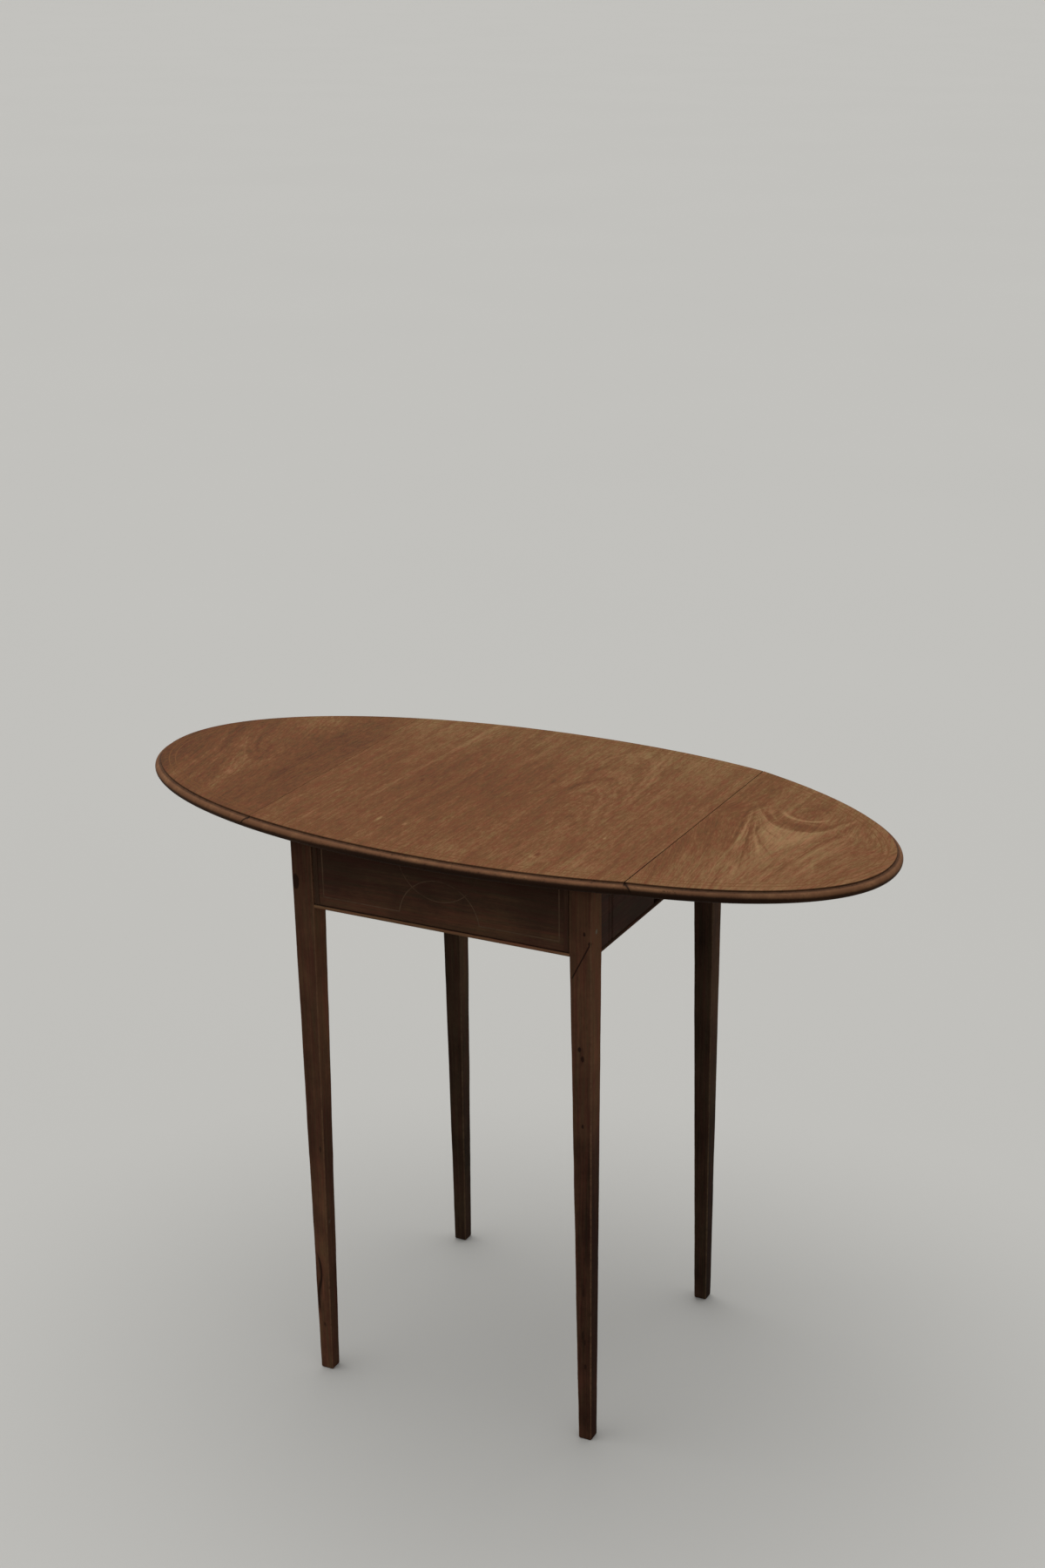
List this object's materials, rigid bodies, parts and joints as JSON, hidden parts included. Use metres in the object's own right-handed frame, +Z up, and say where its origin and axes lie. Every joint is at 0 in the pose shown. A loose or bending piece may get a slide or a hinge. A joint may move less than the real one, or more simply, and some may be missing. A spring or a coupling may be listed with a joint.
{
  "type": "butterfly table",
  "caption": "Small oval butterfly side table with slim square tapered legs, a string-inlaid frieze, rule-jointed drop leaves and swinging wooden brackets under them.",
  "frame": {"origin": "on the floor, below the middle of the table's bounding box", "axes": "+X along the oval top to the table's right, +Y from the inlaid front to the back, +Z up"},
  "size_m": [0.8936, 0.4448, 0.7],
  "materials": {
    "top_wood": "faded, dry mahogany with a soft figure, worn thin at the moulded edge",
    "frame_wood": "dark mahogany, dry and matte with small knocks",
    "edge_strip_wood": "mahogany, rubbed lighter on the rounded edge",
    "inlay_wood": "pale string inlay, darkened by age, flush with the surface",
    "inner_wood": "unfinished secondary wood, sawn",
    "brass": "dull, unlacquered",
    "steel": "dull grey wire and screws"
  },
  "bodies": {
    "frame": {"top_centre": "top_wood", "leg_front_left": "frame_wood", "leg_front_right": "frame_wood", "leg_back_left": "frame_wood", "leg_back_right": "frame_wood", "apron_front": "frame_wood", "apron_back": "frame_wood", "bracket_block_front_left": "frame_wood", "bracket_block_front_right": "frame_wood", "bracket_block_back_left": "frame_wood", "bracket_block_back_right": "frame_wood", "strip_front": "edge_strip_wood", "strip_back": "edge_strip_wood", "strip_left": "edge_strip_wood", "strip_right": "edge_strip_wood", "end_strips_front": "edge_strip_wood", "end_strips_back": "edge_strip_wood", "line_top_centre": "inlay_wood", "inlay_front": "inlay_wood", "inlay_back": "inlay_wood", "rail_left": "inner_wood", "rail_right": "inner_wood", "corner_block_front_left": "inner_wood", "corner_block_front_right": "inner_wood", "corner_block_back_left": "inner_wood", "corner_block_back_right": "inner_wood", "glue_blocks_front": "inner_wood", "glue_blocks_back": "inner_wood", "hinge_fixed_left": "brass", "hinge_fixed_right": "brass", "hinge_screws_fixed_left": "brass", "hinge_screws_fixed_right": "brass", "bracket_pins": "steel", "block_screws": "steel", "top_screws": "steel", "hinge_pins_left": "steel", "hinge_pins_right": "steel"},
    "leaf_left": {"leaf_left": "top_wood", "line_leaf_left": "inlay_wood", "hinge_moving_left": "brass", "hinge_screws_moving_left": "brass"},
    "leaf_right": {"leaf_right": "top_wood", "line_leaf_right": "inlay_wood", "hinge_moving_right": "brass", "hinge_screws_moving_right": "brass"},
    "bracket_front_left": {"bracket_front_left": "frame_wood"},
    "bracket_front_right": {"bracket_front_right": "frame_wood"},
    "bracket_back_left": {"bracket_back_left": "frame_wood"},
    "bracket_back_right": {"bracket_back_right": "frame_wood"}
  },
  "joints": [
    {"name": "leaf_left_hinge", "type": "hinge", "parent": "frame", "child": "leaf_left", "pos_m": [-0.222, 0, 0.6885], "axis": [0, 1, 0], "range_deg": [-90, 0]},
    {"name": "leaf_right_hinge", "type": "hinge", "parent": "frame", "child": "leaf_right", "pos_m": [0.222, 0, 0.6885], "axis": [0, -1, 0], "range_deg": [-87, 3]},
    {"name": "bracket_front_left_hinge", "type": "hinge", "parent": "frame", "child": "bracket_front_left", "pos_m": [-0.17315, -0.1276, 0.645], "axis": [0, 0, 1], "range_deg": [0, 90]},
    {"name": "bracket_front_right_hinge", "type": "hinge", "parent": "frame", "child": "bracket_front_right", "pos_m": [0.17315, -0.1276, 0.645], "axis": [0, 0, -1], "range_deg": [0, 90]},
    {"name": "bracket_back_left_hinge", "type": "hinge", "parent": "frame", "child": "bracket_back_left", "pos_m": [-0.17315, 0.1276, 0.645], "axis": [0, 0, -1], "range_deg": [0, 90]},
    {"name": "bracket_back_right_hinge", "type": "hinge", "parent": "frame", "child": "bracket_back_right", "pos_m": [0.17315, 0.1276, 0.645], "axis": [0, 0, 1], "range_deg": [0, 90]}
  ]
}
